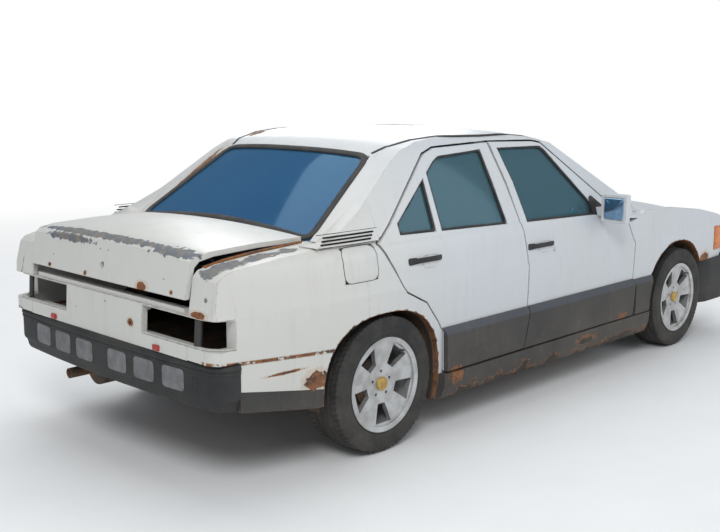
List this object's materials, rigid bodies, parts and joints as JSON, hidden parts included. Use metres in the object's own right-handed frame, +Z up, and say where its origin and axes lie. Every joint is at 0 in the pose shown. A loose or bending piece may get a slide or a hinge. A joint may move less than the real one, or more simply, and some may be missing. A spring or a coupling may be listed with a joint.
{
  "type": "rusty car wreck",
  "caption": "Derelict white four-door saloon with grey lower cladding, missing rear lamps and a boot lid left ajar; doors, lids, fuel flap, steering and wheels move.",
  "frame": {"origin": "on the ground under the middle of the car's length and width", "axes": "+X is the car's forward direction, +Y its left side, +Z up"},
  "size_m": [4.4198, 1.93, 1.39],
  "materials": {
    "white_paint": "dirty white paint with rust, peeled patches and grime",
    "rusty_steel": "rusted and dusty underbody steel",
    "cast_iron": "greasy dark metal",
    "charcoal_plastic": "weathered charcoal plastic",
    "dark_plastic": "dark grained plastic",
    "seat_cloth": "faded blue-grey cloth",
    "tinted_glass": "teal tinted glass",
    "clear_lens": "hazed clear lens",
    "orange_lens": "orange lens",
    "tyre": "worn black rubber",
    "alloy": "dusty silver alloy"
  },
  "bodies": {
    "shell": {"floor_pan": "rusty_steel", "left_side_frame": "white_paint", "right_side_frame": "white_paint", "roof_panel": "white_paint", "rear_panel": "white_paint", "rear_shelf": "white_paint", "bulkhead": "white_paint", "left_wing": "white_paint", "right_wing": "white_paint", "nose_panel": "white_paint", "windscreen": "tinted_glass", "rear_window": "tinted_glass", "front_bumper": "charcoal_plastic", "rear_bumper": "charcoal_plastic", "grille": "charcoal_plastic", "headlamps": "clear_lens", "indicators": "orange_lens", "front_seats": "seat_cloth", "rear_seat": "seat_cloth", "dashboard": "dark_plastic", "steering_wheel": "dark_plastic", "engine_block": "cast_iron", "exhaust": "rusty_steel", "front_subframe": "rusty_steel", "rear_axle": "rusty_steel"},
    "bonnet": {"bonnet": "white_paint"},
    "boot_lid": {"boot_lid": "white_paint"},
    "fuel_flap": {"fuel_flap": "white_paint"},
    "front_left_door": {"front_left_door": "white_paint", "front_left_glass": "tinted_glass", "left_mirror": "white_paint"},
    "rear_left_door": {"rear_left_door": "white_paint", "rear_left_glass": "tinted_glass"},
    "left_knuckle": {"left_knuckle": "rusty_steel"},
    "front_left_wheel": {"front_left_tyre": "tyre", "front_left_rim": "alloy"},
    "rear_left_wheel": {"rear_left_tyre": "tyre", "rear_left_rim": "alloy"},
    "front_right_door": {"front_right_door": "white_paint", "front_right_glass": "tinted_glass", "right_mirror": "white_paint"},
    "rear_right_door": {"rear_right_door": "white_paint", "rear_right_glass": "tinted_glass"},
    "right_knuckle": {"right_knuckle": "rusty_steel"},
    "front_right_wheel": {"front_right_tyre": "tyre", "front_right_rim": "alloy"},
    "rear_right_wheel": {"rear_right_tyre": "tyre", "rear_right_rim": "alloy"}
  },
  "joints": [
    {"name": "front_left_door_hinge", "type": "hinge", "parent": "shell", "child": "front_left_door", "pos_m": [0.813, 0.838, 0.6], "axis": [0, 0, -1], "range_deg": [0, 65]},
    {"name": "rear_left_door_hinge", "type": "hinge", "parent": "shell", "child": "rear_left_door", "pos_m": [-0.241, 0.838, 0.6], "axis": [0, 0, -1], "range_deg": [0, 65]},
    {"name": "front_right_door_hinge", "type": "hinge", "parent": "shell", "child": "front_right_door", "pos_m": [0.813, -0.838, 0.6], "axis": [0, 0, 1], "range_deg": [0, 65]},
    {"name": "rear_right_door_hinge", "type": "hinge", "parent": "shell", "child": "rear_right_door", "pos_m": [-0.241, -0.838, 0.6], "axis": [0, 0, 1], "range_deg": [0, 65]},
    {"name": "bonnet_hinge", "type": "hinge", "parent": "shell", "child": "bonnet", "pos_m": [0.99, 0, 0.928], "axis": [0, -1, 0], "range_deg": [0, 55]},
    {"name": "boot_lid_hinge", "type": "hinge", "parent": "shell", "child": "boot_lid", "pos_m": [-1.58, 0, 0.994], "axis": [0, 1, 0], "range_deg": [-3, 72]},
    {"name": "fuel_flap_hinge", "type": "hinge", "parent": "shell", "child": "fuel_flap", "pos_m": [-1.3395, -0.804, 0.79], "axis": [0, 0.1288, 0.9917], "range_deg": [0, 95]},
    {"name": "left_steer", "type": "hinge", "parent": "shell", "child": "left_knuckle", "pos_m": [1.385, 0.632, 0.19], "axis": [0, -0.1616, 0.9869], "range_deg": [-35, 35]},
    {"name": "front_left_wheel_spin", "type": "hinge", "parent": "left_knuckle", "child": "front_left_wheel", "pos_m": [1.385, 0.716, 0.308], "axis": [0, 1, 0], "continuous": true},
    {"name": "rear_left_wheel_spin", "type": "hinge", "parent": "shell", "child": "rear_left_wheel", "pos_m": [-1.28, 0.709, 0.308], "axis": [0, 1, 0], "continuous": true},
    {"name": "right_steer", "type": "hinge", "parent": "shell", "child": "right_knuckle", "pos_m": [1.385, -0.632, 0.19], "axis": [0, 0.1616, 0.9869], "range_deg": [-35, 35]},
    {"name": "front_right_wheel_spin", "type": "hinge", "parent": "right_knuckle", "child": "front_right_wheel", "pos_m": [1.385, -0.716, 0.308], "axis": [0, 1, 0], "continuous": true},
    {"name": "rear_right_wheel_spin", "type": "hinge", "parent": "shell", "child": "rear_right_wheel", "pos_m": [-1.28, -0.709, 0.308], "axis": [0, 1, 0], "continuous": true}
  ],
  "couplings": [
    {"joint": "right_steer", "follows": "left_steer", "ratio": 1}
  ]
}
